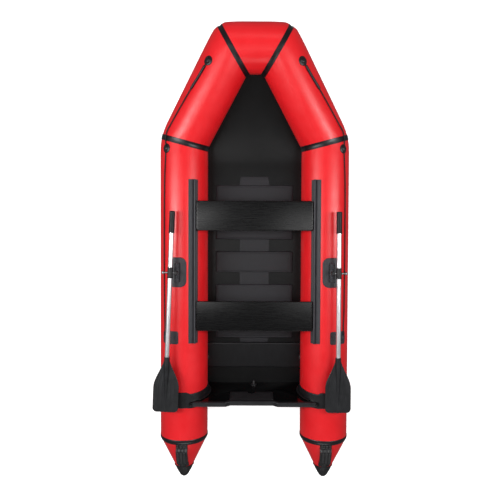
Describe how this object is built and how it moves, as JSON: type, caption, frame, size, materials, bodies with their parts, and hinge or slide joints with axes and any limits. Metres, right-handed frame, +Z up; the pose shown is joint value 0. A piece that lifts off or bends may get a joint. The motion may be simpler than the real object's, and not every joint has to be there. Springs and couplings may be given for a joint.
{
  "type": "inflatable dinghy",
  "caption": "Inflatable rowing dinghy with mitred tubes, a raised bow, pointed stern cones, a raked transom, a slatted floor, sliding bench seats and two oars.",
  "frame": {"origin": "on the ground under the middle of the boat's length and width", "axes": "+X starboard, +Y towards the bow, +Z up"},
  "size_m": [1.3865, 3.2277, 0.5399],
  "materials": {
    "tube_fabric": "smooth red coated tube fabric with a soft gloss",
    "seam_tape": "satin black glued tape",
    "rubber": "dark grey moulded rubber, satin",
    "floor_fabric": "black coated fabric, fine weave showing through",
    "floor_board": "plywood in a black fabric sleeve",
    "transom_ply": "black laminated marine plywood, gloss",
    "edge_trim": "grey extruded edging",
    "seat_board": "black laminated plywood, satin",
    "moulded_plastic": "black moulded plastic, fine grain",
    "aluminium": "bright anodised tube",
    "steel": "stainless, turned",
    "rope": "black braided cord"
  },
  "bodies": {
    "root": {"starboard_side_tube": "tube_fabric", "starboard_bow_quarter_tube": "tube_fabric", "starboard_stern_cone": "tube_fabric", "starboard_shoulder_seam_tape": "seam_tape", "starboard_bow_seam_tape": "seam_tape", "starboard_cone_cap": "rubber", "starboard_stern_handle": "rubber", "starboard_transom_holder": "rubber", "starboard_seat_rail": "rubber", "starboard_rowlock_base": "rubber", "starboard_bow_rope_eye": "rubber", "starboard_side_rope_eye": "rubber", "starboard_rope_patch": "rubber", "starboard_lifeline": "rope", "starboard_valve_body": "moulded_plastic", "port_side_tube": "tube_fabric", "port_bow_quarter_tube": "tube_fabric", "port_stern_cone": "tube_fabric", "port_shoulder_seam_tape": "seam_tape", "port_bow_seam_tape": "seam_tape", "port_cone_cap": "rubber", "port_stern_handle": "rubber", "port_transom_holder": "rubber", "port_seat_rail": "rubber", "port_rowlock_base": "rubber", "port_bow_rope_eye": "rubber", "port_side_rope_eye": "rubber", "port_rope_patch": "rubber", "port_lifeline": "rope", "port_valve_body": "moulded_plastic", "bow_tube": "tube_fabric", "bow_bulkhead": "floor_fabric", "floor_fabric": "floor_fabric", "floor_slat_1": "floor_board", "floor_slat_2": "floor_board", "floor_slat_3": "floor_board", "floor_slat_4": "floor_board", "floor_slat_5": "floor_board", "floor_slat_web": "floor_fabric", "floor_stern_panel": "floor_board", "transom_board": "transom_ply", "transom_trim": "edge_trim", "motor_plate": "moulded_plastic"},
    "front_seat": {"front_seat": "seat_board"},
    "rear_seat": {"rear_seat": "seat_board"},
    "drain_plug": {"drain_plug": "rubber"},
    "starboard_rowlock": {"starboard_rowlock_swivel": "steel"},
    "starboard_oar": {"starboard_oar_collar": "moulded_plastic", "starboard_oar_shaft": "aluminium", "starboard_oar_grip": "rubber", "starboard_oar_blade": "moulded_plastic"},
    "starboard_valve_cap": {"starboard_valve_cap": "moulded_plastic"},
    "starboard_valve_stem": {"starboard_valve_stem": "moulded_plastic"},
    "port_rowlock": {"port_rowlock_swivel": "steel"},
    "port_oar": {"port_oar_collar": "moulded_plastic", "port_oar_shaft": "aluminium", "port_oar_grip": "rubber", "port_oar_blade": "moulded_plastic"},
    "port_valve_cap": {"port_valve_cap": "moulded_plastic"},
    "port_valve_stem": {"port_valve_stem": "moulded_plastic"}
  },
  "joints": [
    {"name": "front_seat_slide", "type": "slide", "parent": "root", "child": "front_seat", "axis": [0, 1, 0], "range_m": [-0.24, 0.14]},
    {"name": "rear_seat_slide", "type": "slide", "parent": "root", "child": "rear_seat", "axis": [0, 1, 0], "range_m": [-0.085, 0.24]},
    {"name": "drain_plug_pull", "type": "slide", "parent": "root", "child": "drain_plug", "axis": [0, 0.9848, 0.1736], "range_m": [0, 0.08]},
    {"name": "starboard_rowlock_swivel_turn", "type": "hinge", "parent": "root", "child": "starboard_rowlock", "pos_m": [0.54004, -0.097, 0.37317], "axis": [0, 0, 1], "range_deg": [0, 120]},
    {"name": "starboard_oar_tilt", "type": "hinge", "parent": "starboard_rowlock", "child": "starboard_oar", "pos_m": [0.54004, -0.097, 0.40117], "axis": [1, 0.0009, 0], "range_deg": [-6, 2.5]},
    {"name": "starboard_valve_stem_push", "type": "slide", "parent": "root", "child": "starboard_valve_stem", "axis": [0.9613, 0, 0.2756], "range_m": [0, 0.005], "stiffness_N_per_m": 300},
    {"name": "starboard_valve_cap_turn", "type": "hinge", "parent": "root", "child": "starboard_valve_cap", "pos_m": [0.34662, -0.74, 0.12503], "axis": [-0.9613, 0, -0.2756], "range_deg": [0, 90]},
    {"name": "port_rowlock_swivel_turn", "type": "hinge", "parent": "root", "child": "port_rowlock", "pos_m": [-0.54004, -0.097, 0.37317], "axis": [0, 0, 1], "range_deg": [-120, 0]},
    {"name": "port_oar_tilt", "type": "hinge", "parent": "port_rowlock", "child": "port_oar", "pos_m": [-0.54004, -0.097, 0.40117], "axis": [0.9993, -0.0366, 0], "range_deg": [-6, 2.5]},
    {"name": "port_valve_stem_push", "type": "slide", "parent": "root", "child": "port_valve_stem", "axis": [-0.9613, 0, 0.2756], "range_m": [0, 0.005], "stiffness_N_per_m": 300},
    {"name": "port_valve_cap_turn", "type": "hinge", "parent": "root", "child": "port_valve_cap", "pos_m": [-0.34662, -0.74, 0.12503], "axis": [0.9613, 0, -0.2756], "range_deg": [0, 90]}
  ]
}
